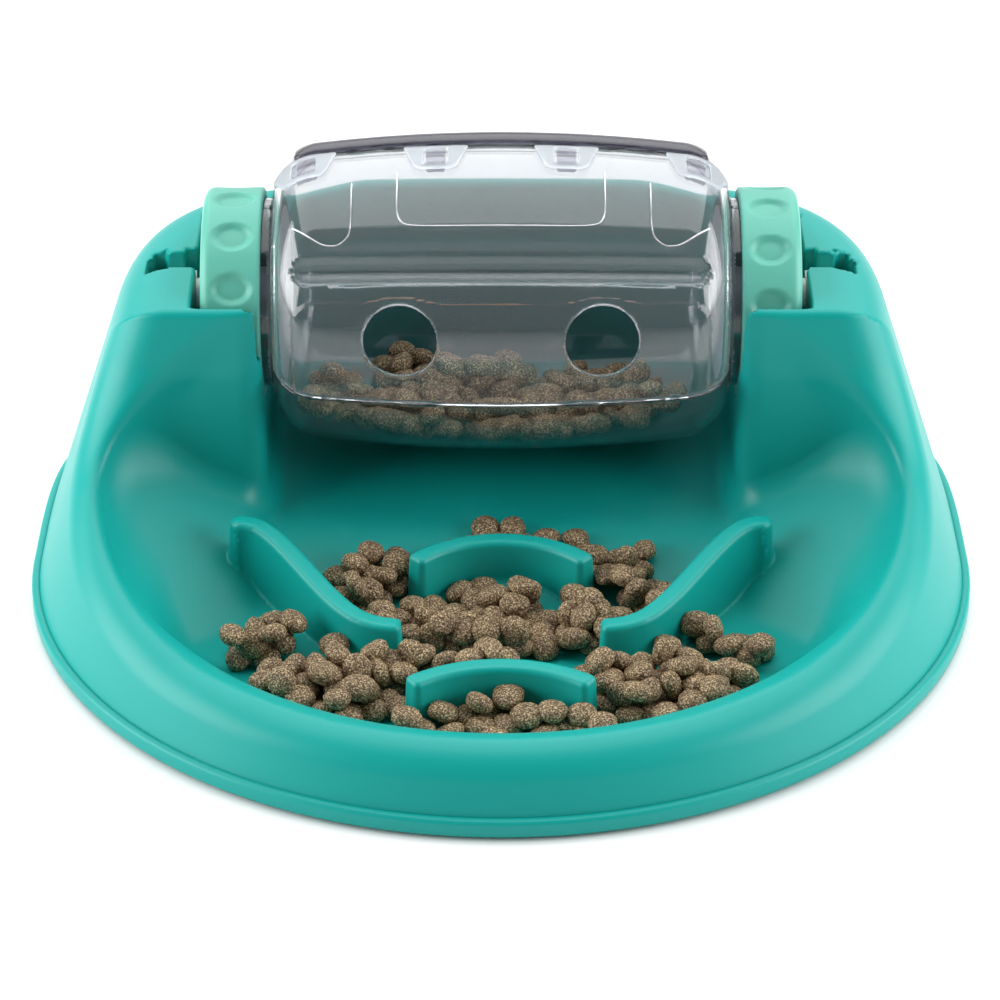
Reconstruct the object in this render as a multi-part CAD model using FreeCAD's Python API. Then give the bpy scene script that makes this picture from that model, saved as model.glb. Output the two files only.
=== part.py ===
"""Paw-rolled dry-food dispenser: a clear drum that rolls over a bowl with a maze.

Millimetres, +Z up. The front of the bowl faces -Y and the drum turns about an axis along X.
Shapes are drawn with the drum axis on Y = 0, then moved so that the origin is at the middle
of the footprint, on the surface that the feet stand on.
"""
import FreeCAD, Part
import math
import os

from FreeCAD import Vector

# ---- base: driving dimensions
WIDTH = 328.0              # over the foot lip, left to right
FRONT_CENTRE_Y = -45.5     # centre of the round front, measured from the drum axis
BACK_DEPTH = 122.0         # from that centre to the back of the lip
BACK_SQUARENESS = 4.2      # power of the flattened back half of the outline
LIP_TOP = 7.5
LIP_STEP = 3.0             # the lip stands out this far past the wall
FOOT_HEIGHT = 1.0          # the lip hangs this far above the floor
DRAFT = 0.33               # front and sides lean in this much per millimetre of height
TOWER_TOP = 101.0
WALL = 3.0
AXLE_Z = 88.0
LOFT_TOP = 112.0

# ---- bowl, drum bay and bearings in the base
BOWL_FLOOR = 8.0
BAY_HALF = 82.0
BAY_RADIUS = 60.0
RAMP_FOOT = (-80.0, 8.0)   # the ramp under the drum: foot, knee, then tangent to the bay
RAMP_KNEE = (-52.0, 20.5)
RAMP_DEG = 8.05
SLOPE_X = 84.0             # beside the ramp the floor slopes up to the towers from here
SLOPE_Z = 28.0
SLOPE_Y = -46.0
SLOPE_ACROSS = 0.435       # rise per millimetre outwards
SLOPE_BACK = 0.4986        # rise per millimetre backwards
TOWER_FRONT_Y = -43.0
DISH_WALL = [(120, 8), (129, 11), (136, 18), (141, 30), (141, 45), (135, 75), (126, 105), (126, 130)]
POCKET_OUTER_X = 106.5
POCKET_RADIUS = 37.4
SLOT_OUTER_X = 124.0
SLOT_HALF = 6.0
RECESS_X = [(105.2, 110.8), (117.6, 122.0)]
RECESS_BACK = 8.8
RECESS_BOTTOM = 84.0

# ---- drum
DRUM_HALF = 79.5
DRUM_RADIUS = 55.2
CROWN_RADIUS = 543.0       # of the barrel's gentle crown, seen from the front
SHELL = 2.2
SHOULDER_X = 64.0          # where the crown turns into the rounded shoulder
BEND_IN = 4.0              # middle of the shoulder, measured in from the end face
BEND_RADIUS = 46.4
CAP_RADIUS = 38.0          # flat end face inside this radius
LID_LOW_DEG = -18.0        # seam angles, counted up from the front
LID_HIGH_DEG = 93.5
GROOVE_DEG = 35.6
HOLE_DEG = 8.6
HOLE_RADIUS = 12.5
HOLE_X = 34.3
SEAM_GAP = 0.3

# ---- ends of the drum
NECK_RADIUS = 32.95
NECK_INNER = 30.5
NECK_END_X = 99.0
RING_RADIUS = 36.9
RING_BORE = 33.0
RING_X = (82.7, 103.4)
RING_FACE = 3.0
RING_EDGE = 4.0            # rounding of the outer rim
RING_HOLE = 9.0
OVAL_COUNT = 12
PIN_RADIUS = 5.0
HUB_BORE = 5.05

HUB_X = (77.3, 97.0)
HUB_THICK = 3.0
HUB_BOSS = 9.0
HEAD_RADIUS = 8.0          # of the stub axle's head inside the hub
HEAD_X = (HUB_X[0] - 2.9, HUB_X[0] - 0.5)
KEY_X = (107.0, 121.5)
KEY_HALF = 5.7             # of the flat-sided end in its 12 mm slot
OVAL_HALF = (6.7, 5.2)
OVAL_DEPTH = 0.7
LEFT_PHASE_DEG = 28.5
RIGHT_PHASE_DEG = 20.2

# ---- details of the drum's wall
GROOVE_BAR = 7.0
GROOVE_STAND_OFF = 2.6
GROOVE_HALF_DEG = 7.0
TAB_X = (-68.0, -22.5, 22.5, 68.0)
TAB_DEG = 84.5
TAB_RAISE = 1.1
TAB_OUTLINE = [(-7.0, -7.3), (7.0, -7.3), (11.3, 7.3), (-11.3, 7.3)]
WINDOW = [(-4.2, -5.0), (4.2, -5.0), (4.2, 5.0), (-4.2, 5.0)]
HOOK_X = (-60.0, -22.5, 22.5, 60.0)
HOOK_HALF = 3.4
HOOK_GAP = 0.5
HOOK_THICK = 1.8
HOOK_SPAN = (-4.0, 16.0)   # front tip and back end, from the window's middle
HOOK_ROOT = 9.8            # the root joins the wall from here back
RAIL_RAISE = 1.5
RAIL_HALF = 72.0
RAIL_DEPTH = 12.0
RAIL_DEG = 101.0

FRONT_Y = FRONT_CENTRE_Y - WIDTH / 2
BACK_Y = FRONT_CENTRE_Y + BACK_DEPTH
TO_ORIGIN = Vector(0, -(FRONT_Y + BACK_Y) / 2, 0)

X_AXIS = Vector(1, 0, 0)
Y_AXIS = Vector(0, 1, 0)
Z_AXIS = Vector(0, 0, 1)
AXLE = Vector(0, 0, AXLE_Z)


def save(node, shape):
    moved = shape.copy()
    moved.translate(TO_ORIGIN)
    moved.exportStep("parts/" + node + ".step")
    print(node, "valid", moved.isValid(), "solids", len(moved.Solids), "cm3", round(moved.Volume / 1000, 2))


def box(low, high):
    return Part.makeBox(high[0] - low[0], high[1] - low[1], high[2] - low[2], Vector(*low))


def mirrored(shape):
    return shape.mirror(Vector(0, 0, 0), X_AXIS)


def x_cylinder(radius, x_start, x_end, y=0.0, z=AXLE_Z):
    return Part.makeCylinder(radius, x_end - x_start, Vector(x_start, y, z), X_AXIS)


def extruded_along_x(outline, half):
    """A side outline of (y, z) points, extruded from -half to +half."""
    points = [Vector(-half, y, z) for y, z in outline]
    return Part.Face(Part.makePolygon(points + points[:1])).extrude(Vector(2 * half, 0, 0))


# ---------------------------------------------------------------- base
def outline_wire(inset, lean, z):
    """Outline of the base at height z: round in front, flattened behind, with an upright back."""
    half = WIDTH / 2 - inset - lean
    depth = BACK_DEPTH - inset
    power = 2 / BACK_SQUARENESS
    steps = 24
    points = []
    for i in range(steps):
        t = math.pi + math.pi * i / steps
        points.append(Vector(half * math.cos(t), FRONT_CENTRE_Y + half * math.sin(t), z))
    for i in range(steps):
        t = math.pi * i / steps
        across = math.copysign(abs(math.cos(t)) ** power, math.cos(t))
        points.append(Vector(half * across, FRONT_CENTRE_Y + depth * math.sin(t) ** power, z))
    curve = Part.BSplineCurve()
    curve.interpolate(Points=points, PeriodicFlag=True)
    return Part.Wire(curve.toShape())


def drafted_block(inset, z_low, z_high):
    """The outer wall's block between two heights, leaning in with height."""
    low = outline_wire(LIP_STEP + inset, DRAFT * (z_low - LIP_TOP), z_low)
    high = outline_wire(LIP_STEP + inset, DRAFT * (z_high - LIP_TOP), z_high)
    return Part.makeLoft([low, high], True, True)


def rim_profile(drop):
    """Side view under the rim: low round the bowl, rising steeply to the flat tower tops."""
    rise = [(-225, 26), (-177, 27), (-150, 29), (-124, 34), (-107, 38), (-94, 42), (-77, 49),
            (-66, 54.5), (-54, 63), (-47.5, 72.5), (-44.3, 83), (-42.3, 92), (-40.3, TOWER_TOP)]
    top = [(y + drop, z - drop) for y, z in rise]
    return top + [(140, TOWER_TOP - drop), (140, -5), (-225 + drop, -5)]


def slope_height(x, y):
    return SLOPE_Z + SLOPE_ACROSS * (x - SLOPE_X) + SLOPE_BACK * (y - SLOPE_Y)


def floor_fill(grow):
    """What rises from the bowl's floor: the ramp's foot and a slope up to each tower."""
    back_y = TOWER_FRONT_Y + grow
    knee_rise = RAMP_KNEE[1] + (back_y - RAMP_KNEE[0]) * math.tan(math.radians(RAMP_DEG))
    low = 0.0 if grow else BOWL_FLOOR - 1
    ramp = extruded_along_x([(RAMP_FOOT[0], low), (RAMP_FOOT[0], RAMP_FOOT[1] - grow),
                             (RAMP_KNEE[0], RAMP_KNEE[1] - grow), (back_y, knee_rise - grow),
                             (back_y, low)], SLOPE_X)
    reach_x, front_y = 150.0, -140.0
    corners = [Vector(x, y, slope_height(x, y) - grow)
               for x, y in ((SLOPE_X, front_y), (reach_x, front_y), (reach_x, back_y), (SLOPE_X, back_y))]
    above = Part.Face(Part.makePolygon(corners + corners[:1])).extrude(Vector(0, 0, 200))
    slope = box((SLOPE_X, front_y, low), (reach_x, back_y, 120)).cut(above)
    return ramp.fuse([slope, mirrored(slope)])


def bowl_space(grow):
    """The dish in front of the towers, as a turned shape cut off at the tower faces."""
    floor = BOWL_FLOOR - grow
    profile = [Vector(0, 0, floor)] + [Vector(r + grow, 0, z - grow) for r, z in DISH_WALL]
    profile.append(Vector(0, 0, DISH_WALL[-1][1] - grow))
    dish = Part.Face(Part.makePolygon(profile + profile[:1])).revolve(Vector(0, 0, 0), Z_AXIS, 360)
    dish.translate(Vector(0, FRONT_CENTRE_Y, 0))
    dish = dish.common(box((-200, -260, -10), (200, TOWER_FRONT_Y + grow, 140)))
    return dish.cut(floor_fill(grow))


def bay_space(grow):
    """The drum's bay between the towers, over the upper part of the ramp."""
    radius = BAY_RADIUS + grow
    slope = math.radians(RAMP_DEG)
    touch_y = radius * math.sin(slope)
    touch_z = AXLE_Z - radius * math.cos(slope)
    front_y = RAMP_KNEE[0]
    front_z = touch_z - (touch_y - front_y) * math.tan(slope)
    half = BAY_HALF + grow
    start = Vector(-half, touch_y, touch_z)
    side = Vector(-half, radius, AXLE_Z)
    middle_angle = (slope - math.pi / 2) / 2
    middle = Vector(-half, radius * math.cos(middle_angle), AXLE_Z + radius * math.sin(middle_angle))
    edges = [Part.makeLine(Vector(-half, front_y, front_z), start),
             Part.Arc(start, middle, side).toShape(),
             Part.makeLine(side, Vector(-half, radius, 130)),
             Part.makeLine(Vector(-half, radius, 130), Vector(-half, front_y, 130)),
             Part.makeLine(Vector(-half, front_y, 130), Vector(-half, front_y, front_z))]
    return Part.Face(Part.Wire(edges)).extrude(Vector(2 * half, 0, 0))


def u_channel(radius, x_start, x_end):
    """An open-topped channel with a round bottom about the drum axis."""
    upright = box((x_start, -radius, AXLE_Z), (x_end, radius, 130))
    return x_cylinder(radius, x_start, x_end).fuse(upright)


def bearing_spaces(grow):
    """Ring pockets and axle slots of both towers."""
    pocket = u_channel(POCKET_RADIUS + grow, BAY_HALF - 5, POCKET_OUTER_X + grow)
    slot = u_channel(SLOT_HALF + grow, POCKET_OUTER_X - 2, SLOT_OUTER_X + grow)
    recesses = [box((low - grow, 0, RECESS_BOTTOM - grow), (high + grow, RECESS_BACK + grow, 130))
                for low, high in RECESS_X]
    right = pocket.fuse([slot] + recesses)
    return right.fuse(mirrored(right))


def base_spaces(grow):
    return bowl_space(grow).fuse([bay_space(grow), bearing_spaces(grow)])


FOOT_RADIUS = 7.0
FOOT_PLACES = [(angle, 138.0) for angle in (200, 235, 270, 305, 340)]


def foot_centres():
    """Seven feet: five round the front and two under the back."""
    places = []
    for angle, radius in FOOT_PLACES:
        t = math.radians(angle)
        places.append((radius * math.cos(t), FRONT_CENTRE_Y + radius * math.sin(t)))
    return places + [(-104.0, 58.0), (104.0, 58.0)]


def make_base():
    outer = drafted_block(0, LIP_TOP, LOFT_TOP).common(extruded_along_x(rim_profile(0), 200))
    lip = Part.Face(outline_wire(0, 0, FOOT_HEIGHT)).extrude(Vector(0, 0, LIP_TOP - FOOT_HEIGHT))
    spaces = base_spaces(0)
    hollow = drafted_block(WALL, -5, LOFT_TOP).common(extruded_along_x(rim_profile(WALL), 200))
    hollow = hollow.cut(base_spaces(WALL))
    posts = []
    for x, y in foot_centres():
        post = Part.makeCylinder(FOOT_RADIUS + 2, 60, Vector(x, y, FOOT_HEIGHT))
        posts.append(post)
    inner_posts = posts[0].fuse(posts[1:]).common(hollow)
    shell = outer.fuse(lip).cut(spaces).cut(hollow).fuse(inner_posts)
    for x, y in foot_centres():
        shell = shell.cut(Part.makeCylinder(FOOT_RADIUS, 2, Vector(x, y, 0)))
    return shell.removeSplitter()


def make_foot(x, y):
    """A rubber pad that fills its recess and stands just proud of the lip."""
    return Part.makeCylinder(FOOT_RADIUS, 2, Vector(x, y, 0))


# ---------------------------------------------------------------- maze ridges
RIDGE_HALF = 3.8
RIDGE_CORNER = 2.0
REAR_RIDGE = (-103.5, 37.5, 52, 27.3)     # arc centre y, radius, half angle, top
FRONT_RIDGE = (-190.5, 46.0, 40, 25.8)
SIDE_ROUTE = [(33.5, -118.5), (41, -118), (48.6, -114.5), (55.5, -106.5), (61.4, -98.2), (67.4, -89),
              (73.3, -80.8), (79, -74), (84, -70), (89, -68.6), (93, -69.5)]
SIDE_TOP = [(25, 25), (41, 25.2), (55.5, 27), (67.4, 30.5), (79, 34.6), (89, 36), (100, 35.6)]


def offset_points(route, side):
    """Points a ridge's half thickness to one side of its route."""
    points = []
    for i in range(len(route)):
        before = route[max(i - 1, 0)]
        after = route[min(i + 1, len(route) - 1)]
        along = Vector(after[0] - before[0], after[1] - before[1], 0)
        along.normalize()
        points.append(Vector(route[i][0] - side * along.y, route[i][1] + side * along.x, BOWL_FLOOR))
    return points


def spline_edge(points):
    curve = Part.BSplineCurve()
    curve.interpolate(points)
    return curve.toShape()


def ridge(route, top):
    """A low wall along a smooth route, with rounded corners."""
    left = offset_points(route, RIDGE_HALF)
    right = offset_points(route, -RIDGE_HALF)
    right.reverse()
    outline = Part.Wire([spline_edge(left), Part.makeLine(left[-1], right[0]),
                         spline_edge(right), Part.makeLine(right[-1], left[0])])
    solid = Part.Face(outline).extrude(Vector(0, 0, top - BOWL_FLOOR))
    corners = [e for e in solid.Edges if e.BoundBox.ZLength > 5 and e.BoundBox.DiagonalLength < 40]
    return solid.makeFillet(RIDGE_CORNER, corners)


def rounded_top(solid, top):
    return solid.makeFillet(RIDGE_CORNER, [e for e in solid.Edges if e.BoundBox.ZMin > top - 0.01])


def arc_ridge(centre_y, radius, half_deg, top):
    """A ridge on an arc that bulges towards the drum, standing on the flat floor and the ramp."""
    route = []
    for i in range(7):
        t = math.radians(90 + half_deg * (1 - i / 3))
        route.append((radius * math.cos(t), centre_y + radius * math.sin(t)))
    return rounded_top(ridge(route, top), top).cut(floor_fill(0))


def side_ridge():
    """The right ridge, whose top climbs with the slope that it runs up to."""
    tall = ridge(SIDE_ROUTE, 45.0)
    points = [Vector(x, -150, z) for x, z in SIDE_TOP]
    low, high = Vector(points[0].x, -150, 80), Vector(points[-1].x, -150, 80)
    outline = Part.Wire([spline_edge(points), Part.makeLine(points[-1], high),
                         Part.makeLine(high, low), Part.makeLine(low, points[0])])
    above = Part.Face(outline).extrude(Vector(0, 150, 0))
    return tall.cut(above).cut(floor_fill(0))


# ---------------------------------------------------------------- drum
def drum_profile(inset):
    """Half of the barrel's outline as (x, radius) points: crowned, with rounded shoulders."""
    radius = DRUM_RADIUS - inset
    crown = CROWN_RADIUS - inset
    shoulder_x = SHOULDER_X - inset / 2
    crown_drop = crown - math.sqrt(crown ** 2 - shoulder_x ** 2)
    end_x = DRUM_HALF - inset
    shoulder = (shoulder_x, radius - crown_drop)
    bend = (end_x - BEND_IN, BEND_RADIUS - inset)
    return radius, shoulder, bend, (end_x, CAP_RADIUS)


def barrel(inset):
    """The solid of revolution inside one surface of the drum's shell."""
    radius, shoulder, bend, cap = drum_profile(inset)
    left_cap = Vector(-cap[0], cap[1], 0)
    right_cap = Vector(cap[0], cap[1], 0)
    edges = [Part.Arc(Vector(-shoulder[0], shoulder[1], 0), Vector(0, radius, 0),
                      Vector(shoulder[0], shoulder[1], 0)).toShape(),
             Part.Arc(Vector(shoulder[0], shoulder[1], 0), Vector(bend[0], bend[1], 0), right_cap).toShape(),
             Part.makeLine(right_cap, Vector(cap[0], 0, 0)),
             Part.makeLine(Vector(cap[0], 0, 0), Vector(-cap[0], 0, 0)),
             Part.makeLine(Vector(-cap[0], 0, 0), left_cap),
             Part.Arc(left_cap, Vector(-bend[0], bend[1], 0), Vector(-shoulder[0], shoulder[1], 0)).toShape()]
    return Part.Face(Part.Wire(edges)).revolve(Vector(0, 0, 0), X_AXIS, 360)


def around_axle(degrees, radius):
    """A point at an angle counted up from the front, about the drum axis."""
    t = math.radians(degrees)
    return Vector(0, -radius * math.cos(t), radius * math.sin(t))


def sector(low_deg, high_deg, half, inner_radius):
    """The wedge between two seam angles, outside the end faces' flat discs."""
    reach = 90.0
    middle = (low_deg + high_deg) / 2
    corners = [Vector(0, 0, 0), around_axle(low_deg, reach), around_axle(middle, reach * 1.6),
               around_axle(high_deg, reach)]
    corners = [Vector(-half, p.y, p.z) for p in corners]
    wedge = Part.Face(Part.makePolygon(corners + corners[:1])).extrude(Vector(2 * half, 0, 0))
    return wedge.cut(Part.makeCylinder(inner_radius, 2 * half + 2, Vector(-half - 1, 0, 0), X_AXIS))


def groove_tool(radius):
    """A bent bar that follows the crown, to press the finger groove into the lid."""
    bar_radius = CROWN_RADIUS + GROOVE_STAND_OFF
    section = Part.Face(Part.Wire(Part.makeCircle(radius, Vector(0, 0, bar_radius), X_AXIS)))
    section.rotate(Vector(0, 0, 0), Y_AXIS, -GROOVE_HALF_DEG)
    tool = section.revolve(Vector(0, 0, 0), Y_AXIS, 2 * GROOVE_HALF_DEG)
    for side in (-1, 1):
        t = math.radians(side * GROOVE_HALF_DEG)
        end = Vector(bar_radius * math.sin(t), 0, bar_radius * math.cos(t))
        tool = tool.fuse(Part.makeSphere(radius, end))
    tool.translate(Vector(0, 0, DRUM_RADIUS - CROWN_RADIUS))
    tool.rotate(Vector(0, 0, 0), X_AXIS, 90 - GROOVE_DEG)
    return tool


def hole_tool(x):
    """The round hole that drops food out of the lid."""
    direction = around_axle(HOLE_DEG, 1)
    return Part.makeCylinder(HOLE_RADIUS, 40, Vector(x, 0, 0) + direction * 30, direction)


def top_prism(x, corners, centre_deg, low=35, high=62):
    """A radial prism over (x, back) corners, turned to an angle counted up from the front."""
    points = [Vector(x + cx, cy, low) for cx, cy in corners]
    prism = Part.Face(Part.makePolygon(points + points[:1])).extrude(Vector(0, 0, high - low))
    prism.rotate(Vector(0, 0, 0), X_AXIS, 90 - centre_deg)
    return prism


def rectangle(half_x, front, back):
    return [(-half_x, -front), (half_x, -front), (half_x, back), (-half_x, back)]


def make_lid():
    """Front part of the drum's wall, with its finger groove, food holes and latch windows."""
    skin = barrel(0).cut(groove_tool(GROOVE_BAR))
    inside = barrel(SHELL).cut(groove_tool(GROOVE_BAR + SHELL))
    half_gap = math.degrees(SEAM_GAP / 2 / DRUM_RADIUS)
    lid = skin.cut(inside)
    lid = lid.common(sector(LID_LOW_DEG + half_gap, LID_HIGH_DEG - half_gap, 100, CAP_RADIUS + SEAM_GAP))
    for x in (-HOLE_X, HOLE_X):
        lid = lid.cut(hole_tool(x))
    for x in TAB_X:
        lid = lid.cut(top_prism(x, WINDOW, TAB_DEG))
    return lid


def make_tab(x):
    """A frosted pad over one latch window, standing on the lid's outer face."""
    pad = barrel(-TAB_RAISE).cut(barrel(0)).common(top_prism(x, TAB_OUTLINE, TAB_DEG))
    return pad.cut(top_prism(x, WINDOW, TAB_DEG))


def make_drum_body():
    """Back part of the drum's wall with both round necks."""
    necks = x_cylinder(NECK_RADIUS, -NECK_END_X, NECK_END_X, 0, 0)
    solid = barrel(0).fuse(necks).cut(barrel(SHELL))
    solid = solid.cut(x_cylinder(NECK_INNER, -110, 110, 0, 0))
    half_gap = math.degrees(SEAM_GAP / 2 / DRUM_RADIUS)
    return solid.cut(sector(LID_LOW_DEG - half_gap, LID_HIGH_DEG + half_gap, 100, CAP_RADIUS))


def make_rail():
    """The thick grey rail along the back of the top seam."""
    skin = barrel(-RAIL_RAISE).cut(barrel(0))
    return skin.common(top_prism(0, rectangle(RAIL_HALF, RAIL_DEPTH / 2, RAIL_DEPTH / 2), RAIL_DEG, 30, 70))


def make_hooks():
    """Four spring fingers inside the drum, under the latch windows."""
    under_lid = barrel(SHELL + HOOK_GAP).cut(barrel(SHELL + HOOK_GAP + HOOK_THICK))
    root = barrel(SHELL).cut(barrel(SHELL + HOOK_GAP))
    hooks = []
    for x in HOOK_X:
        arm = under_lid.common(top_prism(x, rectangle(HOOK_HALF, -HOOK_SPAN[0], HOOK_SPAN[1]), TAB_DEG, 30))
        foot = root.common(top_prism(x, rectangle(HOOK_HALF, -HOOK_ROOT, HOOK_SPAN[1]), TAB_DEG, 30))
        hooks.append(arm.fuse(foot).removeSplitter())
    return Part.makeCompound(hooks)


def make_hub():
    """Right end plug: closes the neck and carries the bearing bore."""
    disc = x_cylinder(NECK_INNER, HUB_X[0], HUB_X[0] + HUB_THICK, 0, 0)
    boss = x_cylinder(HUB_BOSS, HUB_X[0], HUB_X[1], 0, 0)
    return disc.fuse(boss).cut(x_cylinder(HUB_BORE, 60, 110, 0, 0)).removeSplitter()


def make_pin():
    """Right stub axle: head inside the hub, flat-sided end that sits in the slot without turning."""
    head = x_cylinder(HEAD_RADIUS, HEAD_X[0], HEAD_X[1], 0, 0)
    shaft = x_cylinder(PIN_RADIUS, HEAD_X[0], KEY_X[0] + 1, 0, 0)
    key = x_cylinder(KEY_HALF, KEY_X[0], KEY_X[1], 0, 0)
    flats = box((KEY_X[0], -KEY_HALF, 0), (KEY_X[1], KEY_HALF, KEY_HALF))
    return shaft.fuse([head, key, flats]).removeSplitter()


def make_ring(phase_deg):
    """Right end cap: a grip ring with shallow oval finger dimples and a flat outer face."""
    ring = x_cylinder(RING_RADIUS, RING_X[0], RING_X[1], 0, 0)
    outer_edge = [e for e in ring.Edges if e.BoundBox.XMin > RING_X[1] - 0.01 and e.BoundBox.YLength > 10]
    ring = ring.makeFillet(RING_EDGE, outer_edge)
    ring = ring.cut(x_cylinder(RING_BORE, RING_X[0] - 1, RING_X[1] - RING_FACE, 0, 0))
    ring = ring.cut(x_cylinder(RING_HOLE, 80, 110, 0, 0))
    oval = Part.Ellipse(Vector(0, 0, 0), OVAL_HALF[0], OVAL_HALF[1]).toShape()
    dimple = Part.Face(Part.Wire(oval)).extrude(Vector(0, 0, 5))
    dimple.translate(Vector((RING_X[0] + RING_X[1]) / 2 - 0.6, 0, RING_RADIUS - OVAL_DEPTH))
    for i in range(OVAL_COUNT):
        turned = dimple.copy()
        turned.rotate(Vector(0, 0, 0), X_AXIS, 90 - phase_deg - 360 / OVAL_COUNT * i)
        ring = ring.cut(turned)
    return ring


def save_drum(node, shape):
    lifted = shape.copy()
    lifted.translate(AXLE)
    save(node, lifted)


os.makedirs("parts", exist_ok=True)

save("base_shell", make_base())
for number, (foot_x, foot_y) in enumerate(foot_centres(), 1):
    save("foot_pad_%d" % number, make_foot(foot_x, foot_y))
save("maze_ridge_rear", arc_ridge(*REAR_RIDGE))
save("maze_ridge_front", arc_ridge(*FRONT_RIDGE))
right_ridge = side_ridge()
save("maze_ridge_right", right_ridge)
save("maze_ridge_left", mirrored(right_ridge))

save_drum("drum_body", make_drum_body())
save_drum("drum_lid", make_lid())
save_drum("top_rail", make_rail())
save_drum("latch_hooks", make_hooks())
for number, tab_x in enumerate(TAB_X, 1):
    save_drum("latch_tab_%d" % number, make_tab(tab_x))
hub = make_hub()
pin = make_pin()
save_drum("end_hub_right", hub)
save_drum("end_hub_left", mirrored(hub))
save_drum("axle_pin_right", pin)
save_drum("axle_pin_left", mirrored(pin))
save_drum("grip_ring_right", make_ring(RIGHT_PHASE_DEG))
save_drum("grip_ring_left", mirrored(make_ring(LEFT_PHASE_DEG)))
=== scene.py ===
"""Looks of a paw-rolled dry-food dispenser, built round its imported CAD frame.

The frame is in metres, with the front of the bowl facing -Y. Shapes here are drawn in
millimetres about the drum's axle (its Y is 0 there, and Z counts from the floor), as
signed distances that are turned into meshes, and then moved into the frame.
"""

import math

import bpy
import numpy as np
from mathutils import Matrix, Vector


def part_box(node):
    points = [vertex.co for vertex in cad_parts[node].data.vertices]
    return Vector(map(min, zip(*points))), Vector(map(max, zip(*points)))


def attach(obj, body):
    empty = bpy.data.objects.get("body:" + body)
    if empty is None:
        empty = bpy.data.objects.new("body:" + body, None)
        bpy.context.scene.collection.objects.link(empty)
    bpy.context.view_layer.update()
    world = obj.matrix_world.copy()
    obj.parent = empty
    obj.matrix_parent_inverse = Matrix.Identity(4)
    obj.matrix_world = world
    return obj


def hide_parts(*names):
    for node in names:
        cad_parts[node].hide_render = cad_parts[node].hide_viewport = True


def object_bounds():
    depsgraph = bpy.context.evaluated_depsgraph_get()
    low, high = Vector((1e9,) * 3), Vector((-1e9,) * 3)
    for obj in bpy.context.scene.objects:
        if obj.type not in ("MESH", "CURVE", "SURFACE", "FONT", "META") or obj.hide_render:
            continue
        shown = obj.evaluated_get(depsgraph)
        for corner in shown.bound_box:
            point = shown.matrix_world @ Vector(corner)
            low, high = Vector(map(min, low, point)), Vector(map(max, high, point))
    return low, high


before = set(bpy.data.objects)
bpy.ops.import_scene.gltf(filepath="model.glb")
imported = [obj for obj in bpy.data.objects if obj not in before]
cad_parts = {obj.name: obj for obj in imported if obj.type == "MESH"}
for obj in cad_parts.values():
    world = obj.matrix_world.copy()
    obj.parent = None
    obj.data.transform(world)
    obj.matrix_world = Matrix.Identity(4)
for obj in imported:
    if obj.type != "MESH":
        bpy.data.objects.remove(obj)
cad_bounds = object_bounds()

MM = 0.001
ring_low, ring_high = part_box("grip_ring_right")
AXLE = Vector((0, (ring_low.y + ring_high.y) / 2, (ring_low.z + ring_high.z) / 2))
AXLE_Z = AXLE.z / MM


# ------------------------------------------------------------- camera, light, floor
CAMERA_OFFSET = (-0.00035, -1.2241, 0.6223)  # from the axle, metres
CAMERA_TILT = math.radians(60)
LENS_MM = 140.4
FLOOR_REACH = 6.0


def add_camera():
    data = bpy.data.cameras.new("camera")
    camera = bpy.data.objects.new("camera", data)
    bpy.context.scene.collection.objects.link(camera)
    camera.location = AXLE + Vector(CAMERA_OFFSET)
    camera.rotation_euler = (CAMERA_TILT, 0, 0)
    data.lens = LENS_MM
    data.sensor_width = 36
    bpy.context.scene.camera = camera


def add_softbox(name, place, target, size, power):
    """A rectangular lamp that faces its target."""
    data = bpy.data.lights.new(name, "AREA")
    data.shape = "RECTANGLE"
    data.size, data.size_y = size
    data.energy = power
    light = bpy.data.objects.new(name, data)
    bpy.context.scene.collection.objects.link(light)
    light.location = place
    light.rotation_euler = (Vector(target) - Vector(place)).to_track_quat("-Z", "Y").to_euler()


def add_studio():
    add_softbox("top", (0, 0.6, 1.3), (0, 0.1, 0), (2.6, 1.9), 36)
    add_softbox("back", (0, 1.9, 0.6), (0, 0, 0), (2.6, 0.9), 7)
    add_softbox("left", (-1.2, -0.15, 0.45), (0, 0, 0.05), (1.1, 0.8), 17)
    add_softbox("right", (1.2, -0.15, 0.45), (0, 0, 0.05), (1.1, 0.8), 15)
    world = bpy.data.worlds.new("studio")
    world.use_nodes = True
    background = world.node_tree.nodes["Background"]
    background.inputs["Color"].default_value = (1, 1, 1, 1)
    background.inputs["Strength"].default_value = 0.08
    bpy.context.scene.world = world
    bpy.context.scene.view_settings.view_transform = "Standard"


def add_floor():
    reach = FLOOR_REACH
    mesh = bpy.data.meshes.new("floor")
    corners = [(-reach, -reach, 0), (reach, -reach, 0), (reach, reach, 0), (-reach, reach, 0)]
    mesh.from_pydata(corners, [], [(0, 1, 2, 3)])
    floor = bpy.data.objects.new("floor", mesh)
    bpy.context.scene.collection.objects.link(floor)
    material = new_material("studio_floor")
    shader = material.node_tree.nodes["Principled BSDF"]
    shader.inputs["Base Color"].default_value = (0.92, 0.92, 0.92, 1)
    shader.inputs["Roughness"].default_value = 0.7
    mesh.materials.append(material)


# ------------------------------------------------------------- materials
def new_material(name):
    material = bpy.data.materials.new(name)
    material.use_nodes = True
    return material


def noise(tree, scale, detail=2):
    """A noise texture in the piece's own coordinates; gives its output socket."""
    coords = tree.nodes.new("ShaderNodeTexCoord")
    texture = tree.nodes.new("ShaderNodeTexNoise")
    texture.inputs["Scale"].default_value = scale
    texture.inputs["Detail"].default_value = detail
    tree.links.new(coords.outputs["Object"], texture.inputs["Vector"])
    return texture.outputs["Fac"]


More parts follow.
